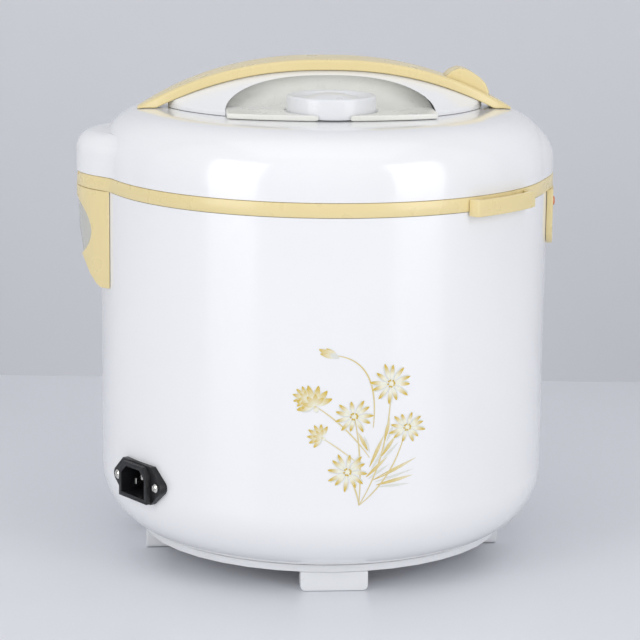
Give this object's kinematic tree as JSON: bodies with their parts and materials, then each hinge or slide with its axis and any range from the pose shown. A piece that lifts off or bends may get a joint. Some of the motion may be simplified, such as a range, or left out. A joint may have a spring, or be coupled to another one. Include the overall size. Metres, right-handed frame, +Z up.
{
  "type": "rice cooker",
  "caption": "White electric rice cooker: round body, hinged lid with an arched carrying handle and steam vent cap, cream trim ring, removable dew cup, mains inlet, feet.",
  "frame": {"origin": "middle of the overall box in X and Y, on the plane the feet stand on", "axes": "+Z up, -Y to the front with the switch, +Y to the lid hinge and the dew cup, X across"},
  "size_m": [0.2812, 0.2998, 0.3115],
  "materials": {
    "white_enamel": "gloss",
    "white_gloss": "gloss",
    "bay_white": "satin",
    "white_plastic": "satin",
    "cream_plastic": "satin",
    "zinc_steel": "satin",
    "galvanised_steel": "satin",
    "heater_foil": "bright",
    "cast_aluminium": "cast",
    "spring_steel": "bright",
    "anodised_aluminium": "satin",
    "aluminium_cap": "satin",
    "black_plastic": "matte",
    "nickel_brass": "bright",
    "silicone_seal": "matte",
    "lamp_cook_lens": "gloss",
    "lamp_warm_lens": "gloss",
    "clear_plastic": "translucent"
  },
  "bodies": {
    "body": {"outer_shell": "white_enamel", "base_cover": "white_plastic", "foot_front": "white_plastic", "foot_right": "white_plastic", "foot_rear": "white_plastic", "foot_left": "white_plastic", "base_screw_1": "zinc_steel", "base_screw_2": "zinc_steel", "base_screw_3": "zinc_steel", "heat_shield": "galvanised_steel", "side_heater": "heater_foil", "heating_plate": "cast_aluminium", "thermostat_spring": "spring_steel", "inner_pot": "anodised_aluminium", "upper_ring": "cream_plastic", "spoon_bracket": "cream_plastic", "control_panel": "cream_plastic", "micro_switch": "black_plastic", "lamp_cook": "lamp_cook_lens", "lamp_warm": "lamp_warm_lens", "mains_inlet": "black_plastic", "inlet_pin_line": "nickel_brass", "inlet_pin_neutral": "nickel_brass", "inlet_pin_earth": "nickel_brass", "inlet_screw_left": "nickel_brass", "inlet_screw_right": "nickel_brass", "hinge_pin": "zinc_steel"},
    "lid": {"lid_cover": "white_gloss", "lid_base": "white_plastic", "lid_gasket": "silicone_seal", "inner_lid": "anodised_aluminium", "inner_lid_knob": "silicone_seal", "vent_tube": "white_plastic", "handle_housing": "white_gloss", "vent_bay": "bay_white", "grip_bay": "bay_white", "handle_strip": "cream_plastic", "lid_knuckle": "cream_plastic", "latch_pin": "zinc_steel"},
    "button": {"lid_button": "cream_plastic"},
    "latch": {"latch_hook": "zinc_steel"},
    "vent": {"vent_cap": "white_plastic"},
    "dew_catcher": {"dew_cup": "cream_plastic", "dew_window": "clear_plastic"},
    "cook_switch": {"cook_key": "white_plastic"},
    "thermostat": {"thermostat_cap": "aluminium_cap"}
  },
  "joints": [
    {"name": "lid_hinge", "type": "hinge", "parent": "body", "child": "lid", "pos_m": [0, 0.14445, 0.2359], "axis": [-1, 0, 0], "range_deg": [0, 85]},
    {"name": "button_press", "type": "slide", "parent": "lid", "child": "button", "axis": [0, 0, -1], "range_m": [0, 0.0025], "stiffness_N_per_m": 400},
    {"name": "latch_swing", "type": "hinge", "parent": "lid", "child": "latch", "pos_m": [0, -0.13965, 0.2555], "axis": [1, 0, 0], "range_deg": [0, 8]},
    {"name": "vent_lift", "type": "slide", "parent": "lid", "child": "vent", "axis": [0, 0, 1], "range_m": [0, 0.007]},
    {"name": "dew_cup_drop", "type": "slide", "parent": "body", "child": "dew_catcher", "axis": [0, 0, -1], "range_m": [0, 0.03]},
    {"name": "cook_key_slide", "type": "slide", "parent": "body", "child": "cook_switch", "axis": [0, 0, -1], "range_m": [0, 0.008], "stiffness_N_per_m": 100},
    {"name": "thermostat_press", "type": "slide", "parent": "body", "child": "thermostat", "axis": [0, 0, -1], "range_m": [0, 0.003], "stiffness_N_per_m": 800}
  ],
  "couplings": [
    {"joint": "latch_swing", "follows": "button_press", "rad_per_m": 50}
  ]
}
